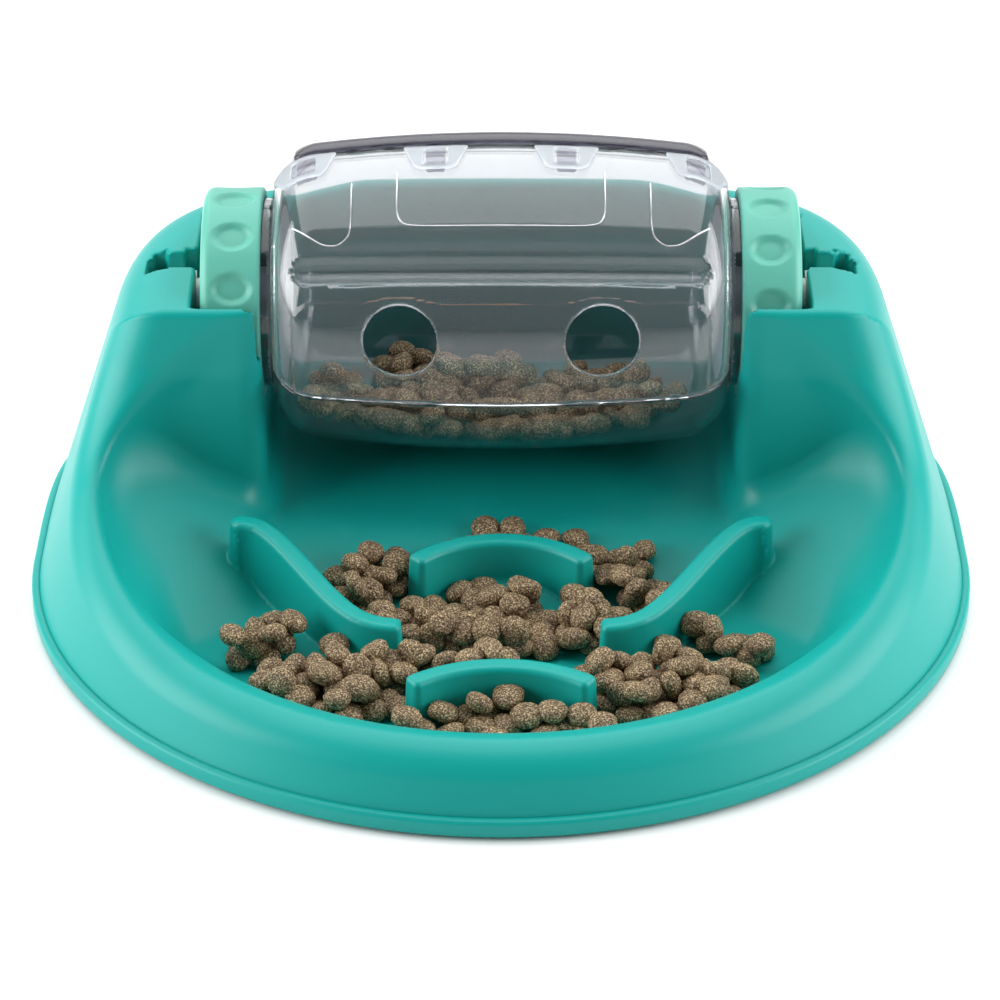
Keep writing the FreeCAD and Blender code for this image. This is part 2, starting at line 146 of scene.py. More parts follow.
def add_bump(tree, height, strength, distance):
    """Lets a height socket roughen the shader's normal."""
    bump = tree.nodes.new("ShaderNodeBump")
    bump.inputs["Strength"].default_value = strength
    bump.inputs["Distance"].default_value = distance
    tree.links.new(height, bump.inputs["Height"])
    tree.links.new(bump.outputs["Normal"], tree.nodes["Principled BSDF"].inputs["Normal"])


def colour_ramp(tree, factor, stops):
    """Colours by position along a factor socket; gives its output socket."""
    ramp = tree.nodes.new("ShaderNodeValToRGB")
    elements = ramp.color_ramp.elements
    while len(elements) < len(stops):
        elements.new(1)
    for element, (position, colour) in zip(elements, stops):
        element.position = position
        element.color = (*colour, 1)
    tree.links.new(factor, ramp.inputs["Fac"])
    return ramp.outputs["Color"]


def moulded_plastic(name, colour, shade, roughness, coarse=0.3):
    """Satin moulded plastic: slight colour drift, fine spark-eroded grain."""
    material = new_material(name)
    tree = material.node_tree
    shader = tree.nodes["Principled BSDF"]
    mix = tree.nodes.new("ShaderNodeMix")
    mix.data_type = "RGBA"
    mix.inputs["A"].default_value = (*colour, 1)
    mix.inputs["B"].default_value = (*shade, 1)
    tree.links.new(noise(tree, 9), mix.inputs["Factor"])
    tree.links.new(mix.outputs["Result"], shader.inputs["Base Color"])
    add_bump(tree, noise(tree, 2600), coarse, 0.00004)
    shader.inputs["Roughness"].default_value = roughness
    shader.inputs["Specular IOR Level"].default_value = 0.32
    return material


def clear_plastic(name, colour, shadow, roughness, haze_share=0.02, ripple=0.15):
    """Polished see-through plastic with a faint moulding ripple.

    Lamps shine straight through it, tinted by the shadow colour.
    """
    material = new_material(name)
    tree = material.node_tree
    shader = tree.nodes["Principled BSDF"]
    shader.inputs["Base Color"].default_value = (*colour, 1)
    shader.inputs["Transmission Weight"].default_value = 1 - haze_share
    shader.inputs["IOR"].default_value = 1.46
    gloss = tree.nodes.new("ShaderNodeMapRange")
    gloss.inputs["To Min"].default_value = roughness * 0.6
    gloss.inputs["To Max"].default_value = roughness * 1.4
    tree.links.new(noise(tree, 30), gloss.inputs["Value"])
    tree.links.new(gloss.outputs["Result"], shader.inputs["Roughness"])
    add_bump(tree, noise(tree, 45, 1), ripple, 0.0003)
    lamp = tree.nodes.new("ShaderNodeLightPath")
    through = tree.nodes.new("ShaderNodeBsdfTransparent")
    through.inputs["Color"].default_value = (*shadow, 1)
    mix = tree.nodes.new("ShaderNodeMixShader")
    tree.links.new(lamp.outputs["Is Shadow Ray"], mix.inputs["Fac"])
    tree.links.new(shader.outputs["BSDF"], mix.inputs[1])
    tree.links.new(through.outputs["BSDF"], mix.inputs[2])
    tree.links.new(mix.outputs["Shader"], tree.nodes["Material Output"].inputs["Surface"])
    return material


def kibble_crust(name):
    """Baked kibble: brown with darker patches, pale specks and a crumbly surface."""
    material = new_material(name)
    tree = material.node_tree
    shader = tree.nodes["Principled BSDF"]
    patches = colour_ramp(tree, noise(tree, 130, 3),
                          [(0.30, (0.62, 0.58, 0.55)), (0.70, (1.0, 0.98, 0.92))])
    specks = colour_ramp(tree, noise(tree, 1700),
                         [(0.34, (0.070, 0.042, 0.018)), (0.50, (0.20, 0.128, 0.058)),
                          (0.68, (0.78, 0.62, 0.40))])
    mix = tree.nodes.new("ShaderNodeMix")
    mix.data_type = "RGBA"
    mix.blend_type = "MULTIPLY"
    mix.inputs["Factor"].default_value = 1
    tree.links.new(specks, mix.inputs["A"])
    tree.links.new(patches, mix.inputs["B"])
    tree.links.new(mix.outputs["Result"], shader.inputs["Base Color"])
    add_bump(tree, noise(tree, 900, 3), 1, 0.0009)
    shader.inputs["Roughness"].default_value = 0.62
    return material


# ------------------------------------------------------------- signed-distance tools
PROBE = 0.02
LEAST_SLOPE = 0.3


def rounded_max(a, b, radius):
    """Intersection of two solids whose shared edge is rounded by an exact radius."""
    inner = np.minimum(np.maximum(a, b), -radius)
    return inner + np.hypot(np.maximum(a + radius, 0), np.maximum(b + radius, 0))


def rounded_min(a, b, radius):
    """Union of two solids with a fillet along their meeting line."""
    return -rounded_max(-a, -b, radius)


def smoothstep(value, low, high):
    t = np.clip((value - low) / (high - low), 0, 1)
    return t * t * (3 - 2 * t)


def blurred(values, spread, axis=0):
    """Gaussian blur along one axis; spread is in samples and the ends are held."""
    reach = int(math.ceil(3 * spread))
    offsets = np.arange(-reach, reach + 1)
    weights = np.exp(-0.5 * (offsets / spread) ** 2)
    padded = np.concatenate([np.repeat(values.take([0], axis), reach, axis), values,
                             np.repeat(values.take([-1], axis), reach, axis)], axis)
    count = values.shape[axis]
    total = sum(w * padded.take(np.arange(i, i + count), axis) for i, w in enumerate(weights))
    return total / weights.sum()


class SmoothCurve:
    """A height over one coordinate: straight runs between points, softened by a blur."""

    def __init__(self, points, spread):
        across, height = np.array(points, float).T
        step = 0.5
        self.across = np.arange(across[0], across[-1] + step, step)
        self.height = blurred(np.interp(self.across, across, height), spread / step)
        self.slope = np.gradient(self.height, self.across)

    def __call__(self, at):
        return np.interp(at, self.across, self.height)

    def tilt(self, at):
        """Cosine that turns a height above the curve into a distance from it."""
        return 1 / np.sqrt(1 + np.interp(at, self.across, self.slope) ** 2)


def surface_net(solid, low, high, step, relax=3, sheet=None):
    """Quads on the zero level of a signed distance, pulled exactly onto it, with its normals.

    sheet tells the two faces of a thin wall apart (0 or 1 at each point), so that a cell
    that holds both gets a point for each.
    """
    axes = [np.arange(a - step, b + 1.5 * step, step) for a, b in zip(low, high)]
    field = solid(axes[0][:, None, None], axes[1][None, :, None], axes[2][None, None, :])
    grid = np.broadcast_to(field, [len(a) for a in axes]).astype(np.float32)
    size = np.array(grid.shape) - 1
    cells = size.prod()
    total = np.zeros((2 * cells, 3))
    count = np.zeros(2 * cells)
    quads = []
    origin = np.array([a[0] for a in axes])
    for axis in range(3):
        n = [grid.shape[i] - (i == axis) for i in range(3)]
        first = grid[:n[0], :n[1], :n[2]]
        second = grid[grid.shape[0] - n[0]:, grid.shape[1] - n[1]:, grid.shape[2] - n[2]:]
        a, b = [i for i in range(3) if i != axis]
        crossing = (first < 0) != (second < 0)
        place = np.argwhere(crossing)
        value_a, value_b = first[crossing], second[crossing]
        fraction = value_a / (value_a - value_b)
        point = place.astype(np.float32)
        point[:, axis] += fraction
        layer = cells * sheet(*(point * step + origin).T) if sheet else 0
        ring = []
        for da, db in ((-1, -1), (0, -1), (0, 0), (-1, 0)):
            cell = place.copy()
            cell[:, a] += da
            cell[:, b] += db
            ring.append((cell[:, 0] * size[1] + cell[:, 1]) * size[2] + cell[:, 2] + layer)
        ring = np.array(ring).T
        for corner in ring.T:
            for i in range(3):
                total[:, i] += np.bincount(corner, point[:, i], 2 * cells)
            count += np.bincount(corner, minlength=2 * cells)
        flip = (value_a < 0) != (axis == 1)
        ring[~flip] = ring[~flip][:, ::-1]
        quads.append(ring)
    quads = np.concatenate(quads)
    used, quads = np.unique(quads, return_inverse=True)
    quads = quads.reshape(-1, 4)
    points = total[used] / count[used][:, None] * step + origin
    return settle(solid, points, quads, step, relax)


def gradient(solid, points):
    """Value and unit normal of a signed distance at points."""
    x, y, z = points.T
    value = solid(x, y, z)
    slope = np.stack([solid(x + PROBE, y, z) - solid(x - PROBE, y, z),
                      solid(x, y + PROBE, z) - solid(x, y - PROBE, z),
                      solid(x, y, z + PROBE) - solid(x, y, z - PROBE)], 1) / (2 * PROBE)
    length = np.maximum(np.linalg.norm(slope, axis=1), LEAST_SLOPE)
    return value / length, slope / length[:, None]


def settle(solid, points, quads, step, relax):
    """Evens out the quads and pulls each point onto the surface."""
    edges = np.concatenate([quads[:, [i, (i + 1) % 4]] for i in range(4)])
    edges = np.unique(np.sort(edges, 1), axis=0)
    neighbours = np.bincount(edges.ravel(), minlength=len(points))[:, None]
    for turn in range(relax + 2):
        value, normal = gradient(solid, points)
        points = points - np.clip(value, -step, step)[:, None] * normal
        if turn < relax:
            mean = np.zeros_like(points)
            for axis in range(3):
                mean[:, axis] = np.bincount(edges[:, 0], points[edges[:, 1], axis], len(points))
                mean[:, axis] += np.bincount(edges[:, 1], points[edges[:, 0], axis], len(points))
            pull = mean / neighbours - points
            pull -= (pull * normal).sum(1)[:, None] * normal
            points = points + 0.5 * pull
    return points, quads, gradient(solid, points)[1]


def add_piece(name, points, faces, material, body, normals=None):
    """A smooth piece from points in axle millimetres, riding on a body of the frame."""
    places = points * MM + np.array([0, AXLE.y, 0])
    mesh = bpy.data.meshes.new(name)
    mesh.from_pydata(places.tolist(), [], faces)
    mesh.polygons.foreach_set("use_smooth", [True] * len(mesh.polygons))
    if normals is not None:
        mesh.normals_split_custom_set_from_vertices(normals.tolist())
    mesh.materials.append(material)
    piece = bpy.data.objects.new(name, mesh)
    bpy.context.scene.collection.objects.link(piece)
    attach(piece, body)
    return piece


def add_mesh(name, points, faces, normals, material, body, replaced=()):
    """A piece with a material slot, which may stand in for nodes of the frame."""
    piece = add_piece(name, points, faces.tolist(), material, body, normals)
    if replaced:
        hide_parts(*replaced)
    return piece


def add_solid(name, solid, low, high, step, material, body, replaced=(), sheet=None):
    """A piece on the surface of a signed distance, sampled between two corners."""
    points, quads, normals = surface_net(solid, low, high, step, sheet=sheet)
    return add_mesh(name, points, quads, normals, material, body, replaced)


# ------------------------------------------------------------- base: driving dimensions
HALF_WIDTH = cad_bounds[1][0] / MM
CENTRE_Y = -45.5
BACK_DEPTH = 122.0
SQUARENESS = 4.2
OUTLINE_TURNS = 6
DRAFT = 0.33
WALL = 3.0
LIP_STEP = 3.0
LIP_TOP = 7.5
LIP_BOTTOM = 1.0
BASE_STEP = 1.8

# Towers on both sides of the drum, and the rim that falls from them to the front.
TOWER_TOP = 101.0
TOWER_FRONT_Y = -43.0
TOWER_EDGE_Y = -40.3
TOWER_LEAN = 0.22
TOWER_EDGE_RADIUS = 2.2
TOWER_FOOT_RADIUS = 16
SHOULDER_RADIUS = 9
SHOULDER_GROWTH = 6
BACK_RISE = 4.5
BACK_RISE_X = (48, 76)
BACK_RISE_Y = (40, 60)
SHOULDER_Y = (-75, -42)
CREST_RADIUS = 4
CREST_GROWTH = 5
CREST_Y = (80, 150)
BEARING_EDGE = 0.7
RIM = SmoothCurve([(-260, 26), (-177, 27), (-150, 29), (-124, 34), (-107, 38), (-94, 42), (-77, 49),
                   (-66, 54.5), (-54, 60.5), (-40, 67), (140, 67)], 2.5)

# Bowl, the ramp under the drum and the drum's bay.
FLOOR_Z = 8.0
BAY_HALF = 82.0
BAY_RADIUS = 60.0
BAY_FRONT_Y = -90.0
BAY_BACK_Y = 8.4
BAY_BLEND = 9
DISH_CORNER = 30
FLOOR_CORNER = 6
FLOOR_CORNER_GROWTH = 8
FLOOR_CORNER_RADII = (100, 125)
SIDE_START_X = BAY_HALF + 2
SIDE_HEIGHT = 28
SIDE_GRADE_X = 0.435
SIDE_GRADE_Y = 0.4986
SIDE_LEVEL_Y = -44
SIDE_ORIGIN_Y = -46
FLOOR_BLUR = 3.5
DISH = SmoothCurve([(0, 131), (20, 133), (30, 140), (45, 141), (75, 135), (126, 105), (150, 100)], 3)
RAMP = SmoothCurve([(-140, FLOOR_Z), (-80, FLOOR_Z), (-52, 20.5), (BAY_BACK_Y, 28.6), (40, 33)], 4)

# Ring pockets, axle slots and the two recesses behind each slot: centre and half width.
POCKET_OUTER_X = 106.5
POCKET_RADIUS = 37.4
SLOT_OUTER_X = 124.0
SLOT_HALF = 6.0
RECESSES = ((119.8, 2.2), (108.0, 2.8))
RECESS_DEPTH = 8.8
RECESS_BOTTOM = 84.0
SLOT_EDGE = 1.5
RECESS_EDGE = 0.8


def wall_inset(x, y, lean):
    """How far inside the leant-in outline a point is: round in front, flattened behind."""
    x, y, lean = np.broadcast_arrays(np.abs(x), y - CENTRE_Y, lean)
    half = HALF_WIDTH - lean
    front = half - np.hypot(x, y)
    back_y = np.maximum(y, 0)
    inset = np.zeros(x.shape)
    for _ in range(OUTLINE_TURNS):
        across = (x / (half - inset)) ** SQUARENESS
        along = (back_y / (BACK_DEPTH - inset)) ** SQUARENESS
        rate = SQUARENESS * (across / (half - inset) + along / (BACK_DEPTH - inset))
        inset = np.clip(inset - (across + along - 1) / np.maximum(rate, 1e-4), -40, 80)
    return np.where(y < 0, front, inset)


class BowlFloor:
    """Height of the bowl's floor: flat in the middle, ramped under the drum, rising at the sides."""

    def __init__(self):
        self.x = np.arange(0, 170.5, 1.0)
        self.y = np.arange(-230, 41.0, 1.0)
        x, y = self.x[:, None], self.y[None, :]
        behind = np.minimum(y, SIDE_LEVEL_Y) - SIDE_ORIGIN_Y
        side = SIDE_HEIGHT + SIDE_GRADE_X * (x - SIDE_START_X) + SIDE_GRADE_Y * behind
        height = np.maximum(np.where(x > SIDE_START_X, side, FLOOR_Z), RAMP(y))
        height = np.maximum(height, FLOOR_Z)
        self.height = blurred(blurred(height, FLOOR_BLUR, 0), FLOOR_BLUR, 1)
        self.slope = np.hypot(*np.gradient(self.height))

    def sample(self, table, x, y):
        """Reads a table between its grid points."""
        x, y = np.broadcast_arrays(np.abs(x), y)
        u = np.clip(x - self.x[0], 0, len(self.x) - 1.001)
        v = np.clip(y - self.y[0], 0, len(self.y) - 1.001)
        i, j = u.astype(int), v.astype(int)
        u, v = u - i, v - j
        return ((table[i, j] * (1 - u) + table[i + 1, j] * u) * (1 - v)
                + (table[i, j + 1] * (1 - u) + table[i + 1, j + 1] * u) * v)

    def __call__(self, x, y):
        return self.sample(self.height, x, y)

    def distance(self, x, y, z):
        """Negative above the floor, as a distance."""
        return (self(x, y) - z) / np.sqrt(1 + self.sample(self.slope, x, y) ** 2)


FLOOR = BowlFloor()


def u_channel(y, z, radius):
    """Negative inside an open-topped channel about the axle."""
    return np.where(z < AXLE_Z, np.hypot(y, z - AXLE_Z), np.abs(y)) - radius


def bowl_space(x, y, z):
    """Negative in the dish and in the drum's bay between the towers."""
    radius = np.hypot(x, y - CENTRE_Y)
    wall = (radius - DISH(z)) * DISH.tilt(z)
    dish = rounded_max(wall, y - TOWER_FRONT_Y, DISH_CORNER)
    bay = np.maximum(np.abs(x) - BAY_HALF, BAY_FRONT_Y - y)
    sides = rounded_min(dish, bay, BAY_BLEND)
    floor = np.maximum(FLOOR.distance(x, y, z), y - BAY_BACK_Y)
    under = np.minimum(u_channel(y, z, BAY_RADIUS), floor)
    corner = FLOOR_CORNER + FLOOR_CORNER_GROWTH * smoothstep(radius, *FLOOR_CORNER_RADII)
    return rounded_max(sides, under, corner)


def bearing_space(x, y, z):
    """Negative in the ring pockets and axle slots."""
    x = np.abs(x)
    pocket = rounded_max(u_channel(y, z, POCKET_RADIUS), x - POCKET_OUTER_X, SLOT_EDGE)
    pocket = np.maximum(pocket, BAY_HALF - 6 - x)
    slot = rounded_max(u_channel(y, z, SLOT_HALF), x - SLOT_OUTER_X, SLOT_EDGE)
    slot = np.maximum(slot, POCKET_OUTER_X - 3 - x)
    recess = np.min([np.abs(x - centre) - half for centre, half in RECESSES], axis=0)
    recess = np.maximum(recess, np.maximum(y - RECESS_DEPTH, np.maximum(-y, RECESS_BOTTOM - z)))
    return np.minimum(pocket, rounded_min(slot, recess, RECESS_EDGE))


def base_block(x, y, z):
    """The moulding with its spaces, but with no underside."""
    wall = (LIP_STEP - wall_inset(x, y, DRAFT * (z - LIP_TOP))) / math.hypot(1, DRAFT)
    face = (TOWER_EDGE_Y - y - TOWER_LEAN * (TOWER_TOP - z)) / math.hypot(1, TOWER_LEAN)
    middle = smoothstep(-np.abs(x), -BACK_RISE_X[1], -BACK_RISE_X[0])
    crown = TOWER_TOP + BACK_RISE * middle * smoothstep(y, *BACK_RISE_Y)
    tower = rounded_max(z - crown, face, TOWER_EDGE_RADIUS)
    top = rounded_min((z - RIM(y)) * RIM.tilt(y), tower, TOWER_FOOT_RADIUS)
    shoulder = SHOULDER_RADIUS + SHOULDER_GROWTH * smoothstep(y, *SHOULDER_Y)
    block = rounded_max(wall, top, shoulder)
    crest = CREST_RADIUS + CREST_GROWTH * smoothstep(-y, *CREST_Y)
    block = rounded_max(block, -bowl_space(x, y, z), crest)
    return rounded_max(block, -bearing_space(x, y, z), BEARING_EDGE)


def base_solid(x, y, z):
    """The block as a shell, open at its foot."""
    block = base_block(x, y, z)
    shell = np.maximum(block, -(block + WALL))
    return np.maximum(shell, LIP_BOTTOM - z)


def base_sheet(x, y, z):
    """Tells the hollow underside's skin (1) from the outer one (0)."""
    return (base_block(x, y, z) < -WALL / 2).astype(int)


def add_base(material):
    step = BASE_STEP
    low = (-HALF_WIDTH, CENTRE_Y - HALF_WIDTH, 0)
    high = (HALF_WIDTH, CENTRE_Y + BACK_DEPTH, TOWER_TOP + BACK_RISE)
    add_solid("base_moulding", base_solid, low, high, step, material, "base",
              ["base_shell"], sheet=base_sheet)


# ------------------------------------------------------------- maze ridges
RIDGE_HALF = 3.6
RIDGE_DRAFT = 0.05
RIDGE_EDGE = 2.0
RIDGE_FILLET = 1.5
RIDGE_FOOT = 2.2
RIDGE_SUNK = 1
RIDGE_CORNER = 2.0
SIDE_END_CORNER = 3.5
RIDGE_STEP = 1.0
RIDGE_MARGIN = 9
SIDE_POINTS = [(33.5, -118.5, 25), (41, -118, 25.2), (48.6, -114.5, 25.8), (55.5, -106.5, 27),
               (61.4, -98.2, 28.6), (67.4, -89, 30.5), (73.3, -80.8, 32.7), (79, -74, 34.6),
               (84, -70, 35.7), (89, -68.6, 36), (93, -69.5, 35.6)]


class Route:
    """A smooth line through (x, y, height) points, carried on straight at both ends."""

    def __init__(self, points):
        points = np.array(points, float)
        steps = 12
        t = np.linspace(0, len(points) - 1, steps * (len(points) - 1) + 1)
        fine = np.stack([np.interp(t, np.arange(len(points)), points[:, i]) for i in range(3)], 1)
        fine = blurred(fine, steps * 0.45)
        fine[0], fine[-1] = points[0], points[-1]
        self.top = fine[:, 2]
        self.plan = fine[:, :2]
        spans = np.linalg.norm(np.diff(self.plan, axis=0), axis=1)
        self.along = np.concatenate([[0], np.cumsum(spans)])

    def __call__(self, x, y):
        """Distance across the line, distance along it, and the height of the ridge's top there."""
        x, y = np.broadcast_arrays(x, y)
        best = np.full(x.shape, 1e9)
        across, along = np.zeros(x.shape), np.zeros(x.shape)
        last = len(self.plan) - 2
        for i in range(last + 1):
            start = self.plan[i]
            way = self.plan[i + 1] - start
            length = np.hypot(*way)
            way = way / length
            s = (x - start[0]) * way[0] + (y - start[1]) * way[1]
            side = (y - start[1]) * way[0] - (x - start[0]) * way[1]
            beyond = s - np.clip(s, -1e9 if i == 0 else 0, 1e9 if i == last else length)
            distance = np.hypot(side, beyond)
            nearer = distance < best
            best = np.where(nearer, distance, best)
            across = np.where(nearer, distance, across)
            along = np.where(nearer, self.along[i] + s, along)
        return across, along, np.interp(along, self.along, self.top)


def arc_points(centre_y, radius, half_deg, top):
    """A ridge's route on an arc that bulges towards the drum."""
    turns = np.radians(90 + half_deg * np.linspace(-1, 1, 9))
    return [(radius * math.cos(t), centre_y + radius * math.sin(t), top) for t in turns]


def ridge_solid(route, corner_start, corner_end):
    """A drafted ridge along a route, with a fillet where it meets the floor."""
    middle = route.along[-1] / 2

    def solid(x, y, z):
        across, along, top = route(x, y)
        corner = np.where(along < middle, corner_start, corner_end)
        plan = rounded_max(across - RIDGE_HALF, np.abs(along - middle) - middle, corner)
        upright = plan - RIDGE_DRAFT * (top - z)
        ridge = rounded_max(upright, z - top, RIDGE_EDGE)
        floor = FLOOR(x, y)
        foot = np.maximum(rounded_min(ridge, z - floor, RIDGE_FILLET), plan - RIDGE_FOOT)
        return np.maximum(foot, floor - RIDGE_SUNK - z)
    return solid


RIDGE_ROUTES = []


def add_ridge(node, points, material, corner_end=RIDGE_CORNER, flip=1):
    points = [(x * flip, y, z) for x, y, z in points]
    route = Route(points)
    RIDGE_ROUTES.append(route)
    low, high = np.min(points, 0) - RIDGE_MARGIN, np.max(points, 0) + RIDGE_MARGIN
    low[2], high[2] = FLOOR_Z - 2, high[2] - 6
    add_solid(node + "_moulding", ridge_solid(route, RIDGE_CORNER, corner_end), low, high,
              RIDGE_STEP, material, "base", [node])


def add_ridges(material):
    add_ridge("maze_ridge_rear", arc_points(-103.5, 37.5, 52, 27.3), material)
    add_ridge("maze_ridge_front", arc_points(-190.5, 46.0, 40, 25.8), material)
    add_ridge("maze_ridge_right", SIDE_POINTS, material, SIDE_END_CORNER)
    add_ridge("maze_ridge_left", SIDE_POINTS, material, SIDE_END_CORNER, -1)


# ------------------------------------------------------------- foot lip
def outline_points(inset, count):
    """Plan points round the footprint at an inset, evenly turned about the bowl's centre."""
    turns = np.linspace(0, 2 * math.pi, count, endpoint=False)
    half, depth = HALF_WIDTH - inset, BACK_DEPTH - inset
    cos, sin = np.cos(turns), np.sin(turns)
    power = 2 / SQUARENESS
    back = np.stack([np.sign(cos) * np.abs(cos) ** power * half, np.abs(sin) ** power * depth], 1)
    front = np.stack([cos * half, sin * half], 1)
    plan = np.where(sin[:, None] > 0, back, front)
    return plan + np.array([0, CENTRE_Y])


LIP_POINTS = 720
LIP_PROFILE = [(7.5, LIP_BOTTOM), (0.9, LIP_BOTTOM), (0.25, 1.3), (0.0, 1.9), (0.0, 5.6), (0.3, 6.4),
               (1.0, 6.9), (2.0, 7.1), (2.7, 7.0), (3.1, 6.6), (3.6, 6.6), (4.0, 7.0), (4.6, 7.9),
               (6.4, 7.9)]


def add_lip(material):
    """The foot lip: a bead round the base with a shallow groove above it."""
    count = LIP_POINTS
    rings = [np.column_stack([outline_points(inset, count), np.full(count, z)])
             for inset, z in LIP_PROFILE]
    points = np.concatenate(rings)
    rows = len(LIP_PROFILE)
    faces = []
    for j in range(rows):
        for i in range(count):
            k = (i + 1) % count
            n = (j + 1) % rows
            faces.append((j * count + i, j * count + k, n * count + k, n * count + i))
    add_mesh("foot_lip", points, np.array(faces)[:, ::-1], None, material, "base")


# ------------------------------------------------------------- drum
DRUM_HALF = 79.5
DRUM_RADIUS = 55.2
CROWN_RADIUS = 543.0
SHOULDER = 15.6
SHELL = 2.2
CAP_RADIUS = 38.0
LID_LOW = math.radians(-18.0)
LID_HIGH = math.radians(93.5)
SEAM_GAP = 0.3
GROOVE_ANGLE = math.radians(34.3)
GROOVE_DEPTH = 4.6
GROOVE_UPPER = math.radians(36.0)
GROOVE_LOWER = math.radians(46.0)
GROOVE_HALF = math.radians(7.2)
GROOVE_EDGE = 0.9
HOLE_ANGLE = math.radians(8.6)
HOLE_RADIUS = 12.5
HOLE_X = 34.3
HOLE_PAD = 2.5
HOLE_EDGE = 0.9
STEP_ANGLE = math.radians(22.8)
STEP_RAISE = 0.5
STEP_HALF = 71.0
STEP_CORNER = 8
STEP_FADE = 0.6
NECK_RADIUS = 32.95
NECK_INNER = 30.5
NECK_END = 99.0
NECK_START = 77.5
SHELL_EDGE = 0.5
FAR = 99
NECK_EDGE = 0.8
DRUM_STEP = 1.1


def turned(y, z, angle):
    """Outward and backward distances from the axle, in a frame turned up from the front."""
    w = z - AXLE_Z
    return (-y * math.cos(angle) + w * math.sin(angle), y * math.sin(angle) + w * math.cos(angle))


def barrel(x, y, z):
    """The drum's outer face: crowned along its length, with rounded shoulders."""
    r = np.hypot(y, z - AXLE_Z)
    crown = np.hypot(x, r + CROWN_RADIUS - DRUM_RADIUS) - CROWN_RADIUS
    return rounded_max(crown, np.abs(x) - DRUM_HALF, SHOULDER)


def wedge(y, z):
    """Negative between the lid's two seams."""
    w = z - AXLE_Z
    low = -y * math.sin(LID_LOW) - w * math.cos(LID_LOW)
    high = y * math.sin(LID_HIGH) + w * math.cos(LID_HIGH)
    return np.maximum(low, high)


def groove(x, y, z):
    """Distance to the wedge, bent along the crown, that presses the finger groove into the lid."""
    out, back = turned(y, z, GROOVE_ANGLE)
    middle = out + CROWN_RADIUS - DRUM_RADIUS
    above = np.hypot(x, middle) - (CROWN_RADIUS - GROOVE_DEPTH)
    beyond = CROWN_RADIUS * np.maximum(np.abs(np.arctan2(x, middle)) - GROOVE_HALF, 0)
    off = np.sqrt(beyond ** 2 + back ** 2 + 0.8)
    slope = GROOVE_LOWER + (GROOVE_UPPER - GROOVE_LOWER) * smoothstep(back, -1, 1)
    return off * np.sin(slope) - above * np.cos(slope)


def lid_solid(x, y, z):
    """Front wall between the seams, with its groove, raised lower field and two food holes."""
    radius = np.hypot(y, z - AXLE_Z)
    out, back = turned(y, z, HOLE_ANGLE)
    hole = np.hypot(np.abs(x) - HOLE_X, back)
    hole = np.where(out > 0, hole, FAR)
    skin = barrel(x, y, z)
    angle = np.arctan2(z - AXLE_Z, -y)
    below = DRUM_RADIUS * (angle - STEP_ANGLE)
    field = rounded_max(below, np.abs(x) - STEP_HALF, STEP_CORNER)
    field = rounded_min(field, hole - HOLE_RADIUS - HOLE_PAD, 4)
    raised = STEP_RAISE * (1 - smoothstep(field, -STEP_FADE, STEP_FADE))
    skin = rounded_max(skin, -groove(x, y, z), GROOVE_EDGE)
    shell = rounded_max(skin - raised, -(skin + SHELL), SHELL_EDGE)
    cut = np.maximum(wedge(y, z) + SEAM_GAP / 2, CAP_RADIUS + SEAM_GAP - radius)
    lid = rounded_max(shell, cut, SHELL_EDGE)
    return rounded_max(lid, HOLE_RADIUS - hole, HOLE_EDGE)


def body_solid(x, y, z):
    """Back wall, both ends and the necks that carry the rings."""
    radius = np.hypot(y, z - AXLE_Z)
    skin = barrel(x, y, z)
    shell = np.maximum(skin, -(skin + SHELL))
    cut = np.maximum(wedge(y, z) - SEAM_GAP / 2, CAP_RADIUS - radius)
    shell = rounded_max(shell, -cut, SHELL_EDGE)
    neck = rounded_max(radius - NECK_RADIUS, np.abs(x) - NECK_END, NECK_EDGE)
    neck = np.maximum(neck, NECK_START - np.abs(x))
    return np.maximum(np.minimum(shell, neck), NECK_INNER - radius)


def add_drum(clear, clear_back_painted_shade):
    low = (-DRUM_HALF - 1, -DRUM_RADIUS - 1, AXLE_Z - DRUM_RADIUS - 1)
    high = (DRUM_HALF + 1, DRUM_RADIUS + 1, AXLE_Z + DRUM_RADIUS + 1)
    add_solid("drum_front_wall", lid_solid, low, high, DRUM_STEP, clear, "lid",
              ["drum_lid"])
    low = (-NECK_END - 1, low[1], low[2])
    high = (NECK_END + 1, high[1], high[2])
    # The back wall's darker clear plastic is painted shade for the dark under and behind the drum.
    add_solid("drum_back_wall", body_solid, low, high, DRUM_STEP, clear_back_painted_shade, "drum",
              ["drum_body"])


# ------------------------------------------------------------- latch tabs, hooks, rail
TAB_X = (-68.0, -22.5, 22.5, 68.0)
HOOK_X = (-66.5, -22.5, 22.5, 66.5)
TAB_ANGLE = math.radians(84.5)
TAB_RAISE = 1.1
TAB_FRONT_HALF = 7.0
TAB_BACK_HALF = 11.3
TAB_REACH = 7.3
WINDOW = (4.2, 5.0)
TAB_STEP = 0.6
FINGER_HALF = 3.4
FINGER_MIDDLE = 6
FINGER_LENGTH_HALF = 10
ROOT_START = 9.8
ARM_DEPTHS = (2.7, 4.5)  # top and bottom of each part of a finger, below the drum's face
ROOT_DEPTHS = (2.2, 4)
BARB_DEPTHS = (0.8, 4)
LATCH_STEP = 0.8
RAIL_ANGLE = math.radians(101.0)
RAIL_RAISE = 1.5
RAIL_HALF = 72.0
RAIL_REACH = 6.0


def window(x, back):
    """Negative in the square hole of a tab."""
    return rounded_max(np.abs(x) - WINDOW[0], np.abs(back) - WINDOW[1], 0.8)


